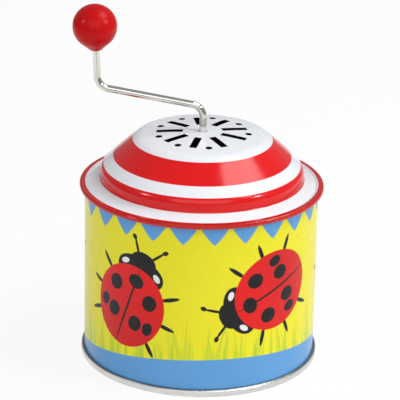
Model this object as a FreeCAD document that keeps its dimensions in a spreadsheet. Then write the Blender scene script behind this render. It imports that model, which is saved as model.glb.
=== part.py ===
import FreeCAD, Part
import math
import os
import re

import Sketcher

# A hand-cranked musical tin: a printed can with a domed lid, a wire crank that comes out of the dome,
# and a small comb movement screwed to the base. Z is up and the can stands on the origin.

# Driving dimensions: millimetres, degrees and counts
SIZES = {
    # tinplate and its rolled seams
    "tin_gauge": 0.3,
    "seam_gap": 0.05,
    "can_radius": 41.1,
    "can_height": 64.2,
    "rim_overhang": 1.9,
    "rim_height": 1.8,
    "rim_round": 0.75,
    "base_rim_overhang": 1.1,
    "base_rim_height": 2.6,
    "base_rim_round": 0.6,
    "side_seam_width": 5.0,
    "side_seam_margin": 4.0,
    # base end
    "base_recess": 3.0,
    "base_bead_inset": 2.85,
    "base_bead_width": 1.4,
    "base_bead_rise": 0.7,
    # lid
    "lid_sink": 0.6,
    "valley_round": 0.3,
    "ledge_width": 4.55,
    "ledge_rise": 2.2,
    "foot_round": 0.8,
    "wall_flare": 0.3,
    "wall_rise": 4.0,
    "shoulder_round": 3.0,
    "cone_width": 12.7,
    "cone_rise": 11.6,
    "crease_round": 6.0,
    "cap_radius": 190.0,
    "collar_depth": 1.6,
    "collar_round": 0.5,
    "collar_gap": 0.1,
    "slot_count": 9,
    "slot_width": 2.6,
    "slot_inner": 7.0,
    "slot_outer": 16.2,
    "slot_turn": 258.0,
    "sound_hole_count": 8,
    "first_hole_step": 2.5,
    "sound_hole_radius": 1.2,
    "sound_hole_ring": 16.0,
    # crank and its ball
    "wire_radius": 1.25,
    "crank_throw": 36.8,
    "arm_rise": 9.0,
    "arm_slope": 10.0,
    "bend_radius": 4.5,
    "leg_rise": 21.8,
    "leg_lean": 2.8,
    "knob_radius": 7.75,
    "knob_neck": 2.0,
    "knob_neck_angle": 50.0,
    "knob_gap": 0.06,
    "wire_reach": 3.5,
    "wire_end_gap": 0.5,
    "groove_depth": 0.35,
    "groove_width": 1.6,
    "groove_drop": 2.0,
    "groove_gap": 0.2,
    # bedplate
    "bed_foot": 2.0,
    "bed_foot_radius": 3.2,
    "bed_plate": 2.2,
    "bed_margin": 1.6,
    "bed_corner": 4.0,
    "boss_depth": 6.0,
    "running_gap": 0.05,
    # worm drive
    "gear_module": 0.7,
    "wheel_teeth": 18,
    "pressure_angle": 20.0,
    "worm_pitch": 3.0,
    "worm_addendum": 0.7,
    "worm_dedendum": 0.8,
    "thread_half": 0.42,
    "turns_below": 2,
    "thread_turns": 4.5,
    "thread_sink": 0.2,
    "worm_reach": 7.0,
    "worm_play": 0.1,
    "worm_journal": 1.95,
    "journal_reach": 1.0,
    "wire_socket": 14.0,
    "washer_radius": 3.4,
    "washer_height": 0.4,
    "wheel_face": 3.2,
    "wheel_addendum": 0.6,
    "wheel_dedendum": 0.85,
    "tooth_half": 0.44,
    "tooth_tip_half": 0.2,
    "tooth_sink": 0.15,
    # drum
    "drum_lift": 7.8,
    "drum_radius": 6.0,
    "drum_wall": 0.5,
    "drum_margin": 1.2,
    "pin_radius": 0.25,
    "pin_height": 0.6,
    "pins_per_track": 3,
    "plug_length": 3.0,
    "cap_flange": 1.0,
    "hub_radius": 2.0,
    "hub_length": 1.0,
    "arbor_radius": 1.0,
    "arbor_overhang": 0.6,
    "side_play": 0.2,
    # brackets
    "bracket_gauge": 1.0,
    "bracket_bend": 0.6,
    "bracket_width": 6.6,
    "bracket_foot": 7.0,
    "bracket_top": 3.0,
    "worm_bracket_side": 5.0,
    "worm_bracket_foot": 7.0,
    "worm_bracket_width": 8.4,
    "worm_bracket_reach": 4.2,
    # comb
    "comb_teeth": 18,
    "tooth_pitch": 1.0,
    "tooth_gap": 0.22,
    "comb_tooth": 0.5,
    "comb_heel": 1.5,
    "heel_depth": 5.0,
    "bass_length": 17.5,
    "treble_length": 12.0,
    "tip_gap": 0.1,
    "comb_side_gap": 0.9,
    "weight_count": 6,
    "weight_length": 3.0,
    "weight_drop": 1.6,
    "weight_inset": 1.2,
    "clamp_depth": 4.0,
    "clamp_inset": 0.6,
    "clamp_gauge": 0.8,
    # screws
    "screw_radius": 1.0,
    "screw_head_radius": 1.9,
    "screw_head": 1.2,
    "screw_slot": 0.5,
    "screw_slot_depth": 0.5,
    "screw_gap": 0.1,
    "thread_gap": 0.03,
    "comb_screw_inset": 4.0,
    "comb_screw_length": 6.0,
    "bracket_screw_length": 2.6,
    "base_screw_length": 4.0,
}

# Places that the pieces share, worked out from the sizes
RIM_RADIUS = "(can_radius + rim_overhang)"
BASE_RIM_RADIUS = "(can_radius + base_rim_overhang)"
CHUCK_INSIDE = "(can_radius - 2 * tin_gauge - seam_gap)"
FOOT_RADIUS = f"({CHUCK_INSIDE} - ledge_width)"
SHOULDER_RADIUS = f"({FOOT_RADIUS} - wall_flare)"
CREASE_RADIUS = f"({SHOULDER_RADIUS} - cone_width)"
CAP_END = f"asin({CREASE_RADIUS} / cap_radius)"
VALLEY_Z = "(can_height - lid_sink)"
FOOT_Z = f"({VALLEY_Z} + ledge_rise)"
SHOULDER_Z = f"({FOOT_Z} + wall_rise)"
CREASE_Z = f"({SHOULDER_Z} + cone_rise)"
APEX_Z = f"({CREASE_Z} + cap_radius * (1 - cos({CAP_END})))"
ARM_Z = f"({APEX_Z} + arm_rise)"
ARM_END_Z = f"({ARM_Z} + crank_throw * tan(arm_slope))"
WHEEL_PITCH = "(gear_module * wheel_teeth / 2)"
WHEEL_ROOT = f"({WHEEL_PITCH} - wheel_dedendum)"
WHEEL_TIP = f"({WHEEL_PITCH} + wheel_addendum)"
WORM_CORE = "(worm_pitch - worm_dedendum)"
WORM_TIP = "(worm_pitch + worm_addendum)"
WORM_LEAD = "(pi * gear_module)"
PANEL_TOP = "(base_recess + tin_gauge)"
BED_UNDER = f"({PANEL_TOP} + bed_foot)"
BED_TOP = f"({BED_UNDER} + bed_plate)"
DRUM_Y = f"(worm_pitch + {WHEEL_PITCH})"
AXIS_Z = f"({BED_TOP} + drum_lift)"
ARM_UNDER = f"({AXIS_Z} + worm_reach)"
WIRE_FOOT = f"({ARM_UNDER} + bracket_gauge + journal_reach - wire_socket)"
COMB_START = f"({WORM_TIP} + comb_side_gap)"
COMB_END = f"({COMB_START} + comb_teeth * tooth_pitch - tooth_gap)"
COMB_TOP = f"({AXIS_Z} + comb_tooth / 2)"
COMB_UNDER = f"({COMB_TOP} - comb_heel)"
TIP_Y = f"({DRUM_Y} - drum_radius - pin_height - tip_gap)"
HEEL_Y = f"({TIP_Y} - bass_length - heel_depth)"
COMB_SCREW_Y = f"({HEEL_Y} + clamp_inset + clamp_depth / 2)"
COMB_SCREWS_X = (f"({COMB_START} + comb_screw_inset)", f"({COMB_END} - comb_screw_inset)")
DRUM_START = "(wheel_face / 2)"
DRUM_END = f"({COMB_END} + drum_margin)"
FAR_FACE = f"({DRUM_END} + cap_flange + hub_length + side_play)"
NEAR_FACE = f"(-{DRUM_START} - hub_length - side_play)"
BRACKET_SCREW = "(bracket_gauge + bracket_bend + screw_head_radius + screw_gap)"
WORM_FOOT_END = "(-worm_bracket_side - worm_bracket_foot)"
WORM_SCREW_X = f"({WORM_FOOT_END} + screw_head_radius + screw_gap)"
WORM_SCREW_Y = "(worm_bracket_width / 2 - screw_head_radius - screw_gap)"
BED_LEFT = f"({WORM_FOOT_END} - bed_margin)"
BED_RIGHT = f"({FAR_FACE} + bracket_foot + bed_margin)"
BED_FRONT = f"({HEEL_Y} - bed_margin)"
BED_BACK = f"({DRUM_Y} + bracket_width / 2 + bed_margin)"
COMB_SIDE = f"({COMB_END} + bed_margin)"
BED_FEET = (
    (f"({BED_LEFT} + bed_foot_radius)", f"({BED_FRONT} + bed_foot_radius + bed_corner)"),
    (f"({COMB_SIDE} + bed_foot_radius)", f"({HEEL_Y} + boss_depth + bed_foot_radius)"),
    (f"({COMB_START} + bed_foot_radius)", f"({BED_BACK} - bed_foot_radius)"),
)
COLLAR_HOLE = "(wire_radius + collar_gap)"

doc = FreeCAD.newDocument("musical_tin")
dims = doc.addObject("Spreadsheet::Sheet", "dims")
for row, (name, size) in enumerate(SIZES.items(), start=1):
    dims.set(f"A{row}", name)
    dims.set(f"B{row}", str(size))
    dims.setAlias(f"B{row}", name)
doc.recompute()

NODES = []
WORD = re.compile(r"[a-z][a-z_]*")
LENGTHWAYS = FreeCAD.Rotation(FreeCAD.Vector(0, 1, 0), 90)
OUTWARDS = FreeCAD.Rotation(FreeCAD.Vector(0, -1, 0), 90)


def cell(text):
    """The expression with each size's name pointing at its cell."""
    return WORD.sub(lambda word: "dims." + word.group() if word.group() in SIZES else word.group(), text)


def measure(text):
    """What an expression comes to now."""
    result = dims.evalExpression(text)
    return float(getattr(result, "Value", result))


def bind(thing, sizes):
    """Ties properties of a thing to expressions."""
    for place, text in sizes.items():
        thing.setExpression(place, cell(text))


def node(thing, label):
    """Keeps a finished sub-part under its own name."""
    thing.Label = label
    NODES.append(thing)
    return thing


def set_at(thing, x="0", y="0", z="0", rotation=None):
    """Places a thing, with its position bound."""
    if rotation:
        thing.Placement = FreeCAD.Placement(FreeCAD.Vector(), rotation)
    bind(thing, {"Placement.Base.x": x, "Placement.Base.y": y, "Placement.Base.z": z})


def new_body(label):
    return node(doc.addObject("PartDesign::Body", label), label)


def origin_item(body, role):
    return next(item for item in body.Origin.OriginFeatures if item.Role == role)


def sketch_on(body, role, lift="0", turn="0"):
    """A sketch on one of the body's own planes, lifted along its normal and turned about it."""
    sketch = body.newObject("Sketcher::SketchObject", "Sketch")
    sketch.AttachmentSupport = [(origin_item(body, role), "")]
    sketch.MapMode = "FlatFace"
    bind(sketch, {"AttachmentOffset.Base.z": lift, "AttachmentOffset.Rotation.Angle": turn})
    return sketch


def fix(sketch, kind, where, text):
    """Adds a dimension to a sketch and binds it."""
    number = sketch.addConstraint(Sketcher.Constraint(kind, *where, measure(text)))
    sketch.setExpression(f"Constraints[{number}]", cell(text))


def short_arc(start, end, radius, way):
    """The arc under half a turn from start to end, with its centre on the left or right of the way."""
    chord = end - start
    left = FreeCAD.Vector(-chord.y, chord.x, 0).normalize()
    reach = math.sqrt(max(radius ** 2 - chord.Length ** 2 / 4, 0))
    centre = (start + end) / 2 + left * (reach if way == "left" else -reach)
    first, last = (start, end) if way == "left" else (end, start)
    angles = [math.atan2(point.y - centre.y, point.x - centre.x) for point in (first, last)]
    if angles[1] < angles[0]:
        angles[1] += 2 * math.pi
    return Part.ArcOfCircle(Part.Circle(centre, FreeCAD.Vector(0, 0, 1), radius), *angles)


def trace(sketch, points, closed=True):
    """Draws lines and arcs through points, every coordinate bound.

    A point is (x, y), or (x, y, radius, way) where an arc that turns that way leads to the next point.
    """
    places = [FreeCAD.Vector(measure(point[0]), measure(point[1]), 0) for point in points]
    count = len(points) if closed else len(points) - 1
    ends = []
    for index in range(count):
        start, end = places[index], places[(index + 1) % len(points)]
        if len(points[index]) == 2:
            sketch.addGeometry(Part.LineSegment(start, end))
            ends.append((1, 2))
        else:
            radius, way = points[index][2:]
            sketch.addGeometry(short_arc(start, end, measure(radius), way))
            ends.append((1, 2) if way == "left" else (2, 1))
    for index in range(count if closed else count - 1):
        following = (index + 1) % count
        joint = Sketcher.Constraint("Coincident", index, ends[index][1], following, ends[following][0])
        sketch.addConstraint(joint)
    for index, point in enumerate(points):
        corner = (index, ends[index][0]) if index < count else (index - 1, ends[index - 1][1])
        fix(sketch, "DistanceX", (-1, 1, *corner), point[0])
        fix(sketch, "DistanceY", (-1, 1, *corner), point[1])
        if len(point) > 2:
            fix(sketch, "Radius", (index,), point[2])


def circle(sketch, x, y, radius):
    """Draws a circle, its centre and radius bound."""
    centre = FreeCAD.Vector(measure(x), measure(y), 0)
    index = sketch.addGeometry(Part.Circle(centre, FreeCAD.Vector(0, 0, 1), measure(radius)))
    fix(sketch, "DistanceX", (-1, 1, index, 3), x)
    fix(sketch, "DistanceY", (-1, 1, index, 3), y)
    fix(sketch, "Radius", (index,), radius)


def revolve(body, points, role="XZ_Plane", angle="360", symmetric=False):
    """Turns a closed outline of radii and heights about the body's upright axis."""
    sketch = sketch_on(body, role)
    trace(sketch, points)
    feature = body.newObject("PartDesign::Revolution", "Revolution")
    feature.Profile = sketch
    feature.ReferenceAxis = (sketch, ["V_Axis"])
    feature.Midplane = symmetric
    bind(feature, {"Angle": angle})
    return feature


def pad(body, sketch, length, symmetric=False, reverse=False):
    feature = body.newObject("PartDesign::Pad", "Pad")
    feature.Profile = sketch
    feature.Midplane = symmetric
    feature.Reversed = reverse
    bind(feature, {"Length": length})
    return feature


def pierce(body, sketch):
    """Cuts a sketch right through the body, both ways, and sees that it took something off."""
    doc.recompute()
    before = body.Shape.Volume
    feature = body.newObject("PartDesign::Pocket", "Pocket")
    feature.Profile = sketch
    feature.Type = "ThroughAll"
    feature.Midplane = True
    doc.recompute()
    if body.Shape.Volume >= before:
        raise RuntimeError(f"{body.Label}: a cut took nothing off")
    return feature


def ring_of(body, feature, count, span="360"):
    """Repeats a feature about the body's upright axis."""
    pattern = body.newObject("PartDesign::PolarPattern", "PolarPattern")
    pattern.Originals = [feature]
    pattern.Axis = (origin_item(body, "Z_Axis"), [""])
    bind(pattern, {"Occurrences": count, "Angle": span})
    body.Tip = pattern
    return pattern


def soften(body, edges, radius):
    """Rounds edges of the body's last feature."""
    base = body.Tip
    feature = body.newObject("PartDesign::Fillet", "Fillet")
    feature.Base = (base, edges)
    bind(feature, {"Radius": radius})
    doc.recompute()


def round_rings(body, corners, radius):
    """Rounds the circular edges that corners of a revolved outline have become."""
    doc.recompute()
    wanted = [(measure(x), measure(z)) for x, z in corners]
    edges = []
    for number, edge in enumerate(body.Tip.Shape.Edges, start=1):
        if isinstance(edge.Curve, Part.Circle):
            here = (edge.Curve.Radius, edge.Curve.Center.z)
            if any(math.dist(here, place) < measure("seam_gap") / 2 for place in wanted):
                edges.append(f"Edge{number}")
    soften(body, edges, radius)


def round_uprights(body, corners, radius):
    """Rounds the upright edges that stand on corners of a padded outline."""
    doc.recompute()
    wanted = [(measure(x), measure(y)) for x, y in corners]
    edges = []
    for number, edge in enumerate(body.Tip.Shape.Edges, start=1):
        first, last = edge.Vertexes[0].Point, edge.Vertexes[-1].Point
        upright = math.dist(first[:2], last[:2]) < measure("seam_gap") / 2
        if upright and any(math.dist(first[:2], place) < measure("seam_gap") / 2 for place in wanted):
            edges.append(f"Edge{number}")
    soften(body, edges, radius)


def other_skin(path, headings, side, gauge):
    """The corners of a bent sheet's second skin, one gauge to a side of the path.

    A heading is the direction of a run, or the directions at the two ends of an arc.
    """
    sign = "" if side == "left" else "-"
    starts = [run if isinstance(run, str) else run[0] for run in headings]
    finishes = [run if isinstance(run, str) else run[1] for run in headings]
    before = [starts[0]] + finishes
    after = starts + [finishes[-1]]
    corners = []
    for (x, z), come, leave in zip((point[:2] for point in path), before, after):
        middle = f"(({come} + {leave}) / 2)"
        reach = f"{sign}{gauge} / cos(({leave} - ({come})) / 2)"
        corners.append((f"{x} - ({reach}) * sin{middle}", f"{z} + ({reach}) * cos{middle}"))
    return corners


def bent_sheet(path, headings, side, gauge="tin_gauge"):
    """A bent sheet's whole outline: along the path, and back along its other skin."""
    back = other_skin(path, headings, side, gauge)
    for index, point in enumerate(path):
        if len(point) > 2:
            inner = f"{point[2]} - {gauge}" if point[3] == side else f"{point[2]} + {gauge}"
            back[index + 1] += (inner, "left" if point[3] == "right" else "right")
    return list(path) + back[::-1]


def primitive(kind, name, sizes, rotation=None, **place):
    """One of the plain solids, its sizes and place bound."""
    solid = doc.addObject("Part::" + kind, name)
    bind(solid, sizes)
    set_at(solid, rotation=rotation, **place)
    return solid


def cut(name, base, tool):
    result = doc.addObject("Part::Cut", name)
    result.Base = base
    result.Tool = tool
    return result


def join(name, solids):
    result = doc.addObject("Part::MultiFuse", name)
    result.Shapes = solids
    return result


def group(label, solids):
    """Separate solids that share one node."""
    result = doc.addObject("Part::Compound", label)
    result.Links = solids
    return node(result, label)


def screw(x, y, seat, length, upwards=False):
    """A slotted cheese-head screw whose head bears on the seat, with its shank going down or upwards."""
    head_z = f"{seat} - screw_head" if upwards else seat
    shank_z = seat if upwards else f"{seat} - {length}"
    slot_z = f"{seat} - screw_head" if upwards else f"{seat} + screw_head - screw_slot_depth"
    head_sizes = {"Radius": "screw_head_radius", "Height": "screw_head"}
    head = primitive("Cylinder", "head", head_sizes, x=x, y=y, z=head_z)
    shank = primitive("Cylinder", "shank", {"Radius": "screw_radius", "Height": length}, x=x, y=y, z=shank_z)
    slot_sizes = {"Length": "2 * screw_head_radius", "Width": "screw_slot", "Height": "screw_slot_depth"}
    slot_x = f"{x} - screw_head_radius"
    slot = primitive("Box", "slot", slot_sizes, x=slot_x, y=f"{y} - screw_slot / 2", z=slot_z)
    return cut("screw", join("blank", [head, shank]), slot)


def on_drum_axis(thing):
    """Lays a thing made about the upright axis along the drum's axis."""
    set_at(thing, y=DRUM_Y, z=AXIS_Z, rotation=LENGTHWAYS)
    return thing


def can_body():
    """The rolled wall, flanged out at both ends, with a lock seam folded to the inside at the back."""
    low = "(tin_gauge + seam_gap)"
    high = "(can_height - tin_gauge - seam_gap)"
    base_flange = f"{BASE_RIM_RADIUS} - tin_gauge - seam_gap"
    top_flange = f"{RIM_RADIUS} - tin_gauge - seam_gap"
    path = [(base_flange, low), ("can_radius - tin_gauge", low), ("can_radius - tin_gauge", high),
            (top_flange, high)]
    body = new_body("can_body")
    revolve(body, bent_sheet(path, ["180 deg", "90 deg", "0 deg"], "right"))
    fold_inside = "can_radius - 3 * tin_gauge"
    fold_outside = "can_radius - tin_gauge / 2"
    fold_low = "base_recess + side_seam_margin"
    fold_high = f"{VALLEY_Z} - side_seam_margin"
    fold = [(fold_inside, fold_low), (fold_outside, fold_low), (fold_outside, fold_high),
            (fold_inside, fold_high)]
    revolve(body, fold, "YZ_Plane", "side_seam_width / can_radius * 180 / pi", symmetric=True)


def base_plate():
    """The pressed base: a sunk panel with a stiffening bead, and a rim rolled round the wall's flange."""
    bead_inside = f"({CHUCK_INSIDE} - base_bead_inset - base_bead_width / 2)"
    bead_outside = f"({CHUCK_INSIDE} - base_bead_inset + base_bead_width / 2)"
    bead_top = "(base_recess + base_bead_rise)"
    path = [("0", "base_recess"), (f"{bead_inside} - base_bead_rise", "base_recess"), (bead_inside, bead_top),
            (bead_outside, bead_top), (f"{bead_outside} + base_bead_rise", "base_recess"),
            (CHUCK_INSIDE, "base_recess"), (CHUCK_INSIDE, "0"), (BASE_RIM_RADIUS, "0"),
            (BASE_RIM_RADIUS, "base_rim_height"), ("can_radius + seam_gap", "base_rim_height")]
    headings = ["0 deg", "45 deg", "0 deg", "-45 deg", "0 deg", "-90 deg", "0 deg", "90 deg", "180 deg"]
    body = new_body("base_plate")
    revolve(body, bent_sheet(path, headings, "left"))
    round_rings(body, path[7:9], "base_rim_round")
    holes = sketch_on(body, "XY_Plane")
    for x, y in BED_FEET:
        circle(holes, x, y, "screw_radius + screw_gap")
    pierce(body, holes)


def lid():
    """The pressed lid: drawn collar, cap, cone, shoulder, ledge and rolled rim, with its sound slots."""
    cone = "-atan(cone_rise / cone_width)"
    wall = "-atan(wall_rise / wall_flare)"
    ledge = "-atan(ledge_rise / ledge_width)"
    path = [(COLLAR_HOLE, f"{APEX_Z} - collar_depth"), (COLLAR_HOLE, APEX_Z, "cap_radius", "right"),
            (CREASE_RADIUS, CREASE_Z), (SHOULDER_RADIUS, SHOULDER_Z), (FOOT_RADIUS, FOOT_Z),
            (CHUCK_INSIDE, VALLEY_Z), (CHUCK_INSIDE, "can_height"), (RIM_RADIUS, "can_height"),
            (RIM_RADIUS, "can_height - rim_height"), ("can_radius + seam_gap", "can_height - rim_height")]
    headings = ["90 deg", ("0 deg", f"-{CAP_END}"), cone, wall, ledge, "90 deg", "0 deg", "-90 deg",
                "-180 deg"]
    body = new_body("lid")
    revolve(body, bent_sheet(path, headings, "right"))
    outside = [point[:2] for point in path]
    inside = other_skin(path, headings, "right", "tin_gauge")
    round_rings(body, [outside[1]], "collar_round")
    round_rings(body, [outside[2]], "crease_round")
    round_rings(body, [inside[2]], "crease_round - tin_gauge")
    round_rings(body, [outside[3]], "shoulder_round")
    round_rings(body, [inside[3]], "shoulder_round - tin_gauge")
    round_rings(body, [outside[4]], "foot_round")
    round_rings(body, [inside[4]], "foot_round + tin_gauge")
    round_rings(body, [outside[5]], "valley_round")
    round_rings(body, outside[6:7], "rim_round / 2")
    round_rings(body, outside[7:9], "rim_round")
    slot = sketch_on(body, "XY_Plane", turn="slot_turn")
    half = "slot_width / 2"
    trace(slot, [("slot_inner", f"-{half}"), ("slot_outer", f"-{half}"), ("slot_outer", half),
                 ("slot_inner", half)])
    ring_of(body, pierce(body, slot), "slot_count")
    hole = sketch_on(body, "XY_Plane", turn="slot_turn + first_hole_step * 360 / slot_count")
    circle(hole, "sound_hole_ring", "0", "sound_hole_radius")
    ring_of(body, pierce(body, hole), "sound_hole_count", "360 / slot_count * (sound_hole_count - 1)")


def up_leg(reach, aside="0"):
    """A point up the crank's leg from its corner, and out to the leg's far side."""
    return (f"-crank_throw - ({reach}) * sin(leg_lean) - ({aside}) * cos(leg_lean)",
            f"{ARM_END_Z} + ({reach}) * cos(leg_lean) - ({aside}) * sin(leg_lean)")


def crank_wire():
    """The crank, bent from one wire: a shaft down the axis, a rising arm and a leg that leans out."""
    first_run = "(bend_radius * tan(45 - arm_slope / 2))"
    last_run = "(bend_radius * tan(45 - (arm_slope + leg_lean) / 2))"
    wire_top = "leg_rise + wire_reach"
    body = new_body("crank_wire")
    route = sketch_on(body, "XZ_Plane")
    trace(route, [("0", WIRE_FOOT), ("0", f"{ARM_Z} - {first_run}", "bend_radius", "left"),
                  (f"-{first_run} * cos(arm_slope)", f"{ARM_Z} + {first_run} * sin(arm_slope)"),
                  (f"-crank_throw + {last_run} * cos(arm_slope)",
                   f"{ARM_END_Z} - {last_run} * sin(arm_slope)", "bend_radius", "right"),
                  up_leg(last_run), up_leg(wire_top)], closed=False)
    section = sketch_on(body, "XY_Plane", lift=WIRE_FOOT)
    circle(section, "0", "0", "wire_radius")
    pipe = body.newObject("PartDesign::AdditivePipe", "Pipe")
    pipe.Profile = section
    pipe.Spine = route
    doc.recompute()
    whole = body.Shape.Volume
    groove_top = f"{wire_top} - groove_drop"
    groove_low = f"{groove_top} - groove_width"
    groove_in = "wire_radius - groove_depth"
    ring = sketch_on(body, "XZ_Plane")
    trace(ring, [up_leg(groove_low, "wire_radius"), up_leg(groove_low, groove_in),
                 up_leg(groove_top, groove_in), up_leg(groove_top, "wire_radius")])
    leg = sketch_on(body, "XZ_Plane")
    trace(leg, [up_leg("leg_rise"), up_leg(wire_top)], closed=False)
    groove = body.newObject("PartDesign::Groove", "Groove")
    groove.Profile = ring
    groove.ReferenceAxis = (leg, ["Edge1"])
    groove.Angle = 360
    doc.recompute()
    if body.Shape.Volume >= whole:
        raise RuntimeError("crank_wire: the snap groove took nothing off")


def knob():
    """The ball, drawn in to a neck below, with a blind bore whose ridge snaps into the wire's groove."""
    bore = "(wire_radius + knob_gap)"
    ridge = "(wire_radius - groove_depth + knob_gap)"
    ridge_top = "(wire_reach - groove_drop - groove_gap)"
    ridge_low = "(wire_reach - groove_drop - groove_width + groove_gap)"
    bore_end = "(wire_reach + wire_end_gap)"
    low_x = "knob_radius * cos(knob_neck_angle)"
    low_z = "-knob_radius * sin(knob_neck_angle)"
    foot_z = f"{low_z} - ({low_x} - knob_neck) / tan(knob_neck_angle)"
    body = new_body("knob")
    revolve(body, [("0", "knob_radius", "knob_radius", "right"), (low_x, low_z), ("knob_neck", foot_z),
                   (bore, foot_z), (bore, ridge_low), (ridge, ridge_low), (ridge, ridge_top),
                   (bore, ridge_top), (bore, bore_end), ("0", bore_end)])
    ball_x, ball_z = up_leg("leg_rise")
    set_at(body, x=ball_x, z=ball_z, rotation=OUTWARDS)
    bind(body, {"Placement.Rotation.Angle": "leg_lean"})


def bedplate():
    """The cast plate: three feet on the base, a boss for the comb, and the worm's lower bearing."""
    corners = [(BED_LEFT, BED_FRONT), (COMB_SIDE, BED_FRONT), (f"{COMB_SIDE} + 2 * bed_foot_radius", HEEL_Y),
               (BED_RIGHT, f"{DRUM_Y} - bracket_width / 2 - bed_margin"), (BED_RIGHT, BED_BACK),
               (BED_LEFT, BED_BACK)]
    body = new_body("bedplate")
    plate = sketch_on(body, "XY_Plane", lift=BED_UNDER)
    trace(plate, corners)
    pad(body, plate, "bed_plate")
    round_uprights(body, corners, "bed_corner")
    boss = sketch_on(body, "XY_Plane", lift=f"{BED_TOP} - bed_plate / 2")
    boss_back = f"{HEEL_Y} + boss_depth"
    trace(boss, [(COMB_START, HEEL_Y), (COMB_END, HEEL_Y), (COMB_END, boss_back), (COMB_START, boss_back)])
    pad(body, boss, f"{COMB_UNDER} - {BED_TOP} + bed_plate / 2")
    feet = sketch_on(body, "XY_Plane", lift=PANEL_TOP)
    for x, y in BED_FEET:
        circle(feet, x, y, "bed_foot_radius")
    pad(body, feet, "bed_foot + bed_plate / 2")
    holes = sketch_on(body, "XY_Plane")
    circle(holes, "0", "0", "worm_journal + running_gap")
    screws = [*BED_FEET, *((x, COMB_SCREW_Y) for x in COMB_SCREWS_X), *bracket_screw_places()]
    for x, y in screws:
        circle(holes, x, y, "screw_radius + thread_gap")
    pierce(body, holes)


def bracket_screw_places():
    """Where the three brackets are screwed down."""
    return [(f"{FAR_FACE} + {BRACKET_SCREW}", DRUM_Y), (f"{NEAR_FACE} - {BRACKET_SCREW}", DRUM_Y),
            (WORM_SCREW_X, WORM_SCREW_Y), (WORM_SCREW_X, f"-{WORM_SCREW_Y}")]


def arbor_bracket(label, face, turn):
    """A bent strip with the arbor's bearing in its upright and a screwed foot that points outwards."""
    bend = "(bracket_gauge + bracket_bend)"
    top = "(drum_lift + bracket_top)"
    body = new_body(label)
    profile = sketch_on(body, "XZ_Plane")
    trace(profile, [(bend, "0"), ("bracket_foot", "0"), ("bracket_foot", "bracket_gauge"),
                    (bend, "bracket_gauge", "bracket_bend", "right"), ("bracket_gauge", bend),
                    ("bracket_gauge", top), ("0", top), ("0", bend, bend, "left")])
    pad(body, profile, "bracket_width", symmetric=True)
    bearing = sketch_on(body, "YZ_Plane")
    circle(bearing, "0", "drum_lift", "arbor_radius + running_gap")
    pierce(body, bearing)
    hole = sketch_on(body, "XY_Plane")
    circle(hole, BRACKET_SCREW, "0", "screw_radius + screw_gap")
    pierce(body, hole)
    set_at(body, face, DRUM_Y, BED_TOP, FreeCAD.Rotation(FreeCAD.Vector(0, 0, 1), turn))


def worm_bracket():
    """A strip bent up beside the worm and over it, with the worm's upper bearing in its arm."""
    path = [(WORM_FOOT_END, BED_TOP), ("-worm_bracket_side", BED_TOP), ("-worm_bracket_side", ARM_UNDER),
            ("worm_bracket_reach", ARM_UNDER)]
    body = new_body("worm_bracket")
    strip = sketch_on(body, "XZ_Plane")
    trace(strip, bent_sheet(path, ["0 deg", "90 deg", "0 deg"], "left", "bracket_gauge"))
    pad(body, strip, "worm_bracket_width", symmetric=True)
    holes = sketch_on(body, "XY_Plane")
    circle(holes, "0", "0", "worm_journal + running_gap")
    for way in ("", "-"):
        circle(holes, WORM_SCREW_X, way + WORM_SCREW_Y, "screw_radius + screw_gap")
    pierce(body, holes)


def worm():
    """The worm: journals at both ends, a socket for the crank wire, and a single right-hand thread."""
    shoulder = f"({BED_TOP} + washer_height + worm_play)"
    top = f"({ARM_UNDER} - worm_play)"
    end = f"({ARM_UNDER} + bracket_gauge + journal_reach)"
    body = new_body("worm")
    revolve(body, [("0", BED_UNDER), ("worm_journal", BED_UNDER), ("worm_journal", shoulder),
                   (WORM_CORE, shoulder), (WORM_CORE, top), ("worm_journal", top), ("worm_journal", end),
                   ("wire_radius", end), ("wire_radius", WIRE_FOOT), ("0", WIRE_FOOT)])
    start = f"({AXIS_Z} - {WORM_LEAD} * (turns_below + 1 / 4))"
    root = f"({WORM_CORE} - thread_sink)"
    root_half = f"(thread_half + (worm_pitch - {root}) * tan(pressure_angle))"
    tip_half = "(thread_half - worm_addendum * tan(pressure_angle))"
    thread = sketch_on(body, "XZ_Plane")
    trace(thread, [(root, f"{start} - {root_half}"), (WORM_TIP, f"{start} - {tip_half}"),
                   (WORM_TIP, f"{start} + {tip_half}"), (root, f"{start} + {root_half}")])
    helix = body.newObject("PartDesign::AdditiveHelix", "Thread")
    helix.Profile = thread
    helix.ReferenceAxis = (thread, ["V_Axis"])
    helix.Mode = "pitch-turns-angle"
    bind(helix, {"Pitch": WORM_LEAD, "Turns": "thread_turns"})


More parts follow.
